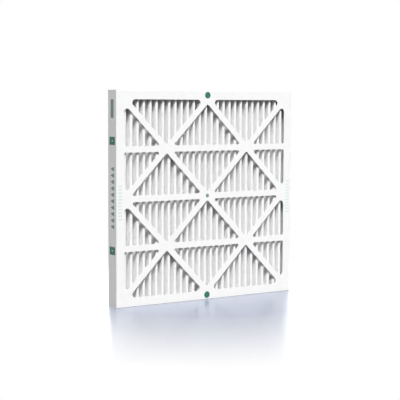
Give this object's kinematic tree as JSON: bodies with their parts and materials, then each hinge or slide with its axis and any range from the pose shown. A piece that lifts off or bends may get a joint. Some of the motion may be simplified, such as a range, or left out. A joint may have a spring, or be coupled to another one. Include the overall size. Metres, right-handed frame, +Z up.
{
  "type": "pleated panel air filter",
  "caption": "Square ventilation filter panel: pleated nonwoven cloth on a wire grid between two die-cut white board frames with diagonal straps, to slide into a filter rack.",
  "frame": {"origin": "middle of the bottom edge, halfway through the depth", "axes": "+Z up along the pleats, +X to the right across the pleats, -Y towards the entering air (front face), +Y towards the leaving air"},
  "size_m": [0.594, 0.0444, 0.594],
  "materials": {
    "front_board": "white coated board, matt",
    "rear_board": "white coated board, matt",
    "filter_cloth": "white lofty nonwoven",
    "grid_wire": "galvanised",
    "adhesive": "dried adhesive"
  },
  "bodies": {
    "root": {"front_frame": "front_board", "rear_frame": "rear_board", "pleated_media": "filter_cloth", "support_grid": "grid_wire", "top_seal": "adhesive", "bottom_seal": "adhesive", "left_seal": "adhesive", "right_seal": "adhesive"}
  },
  "joints": []
}
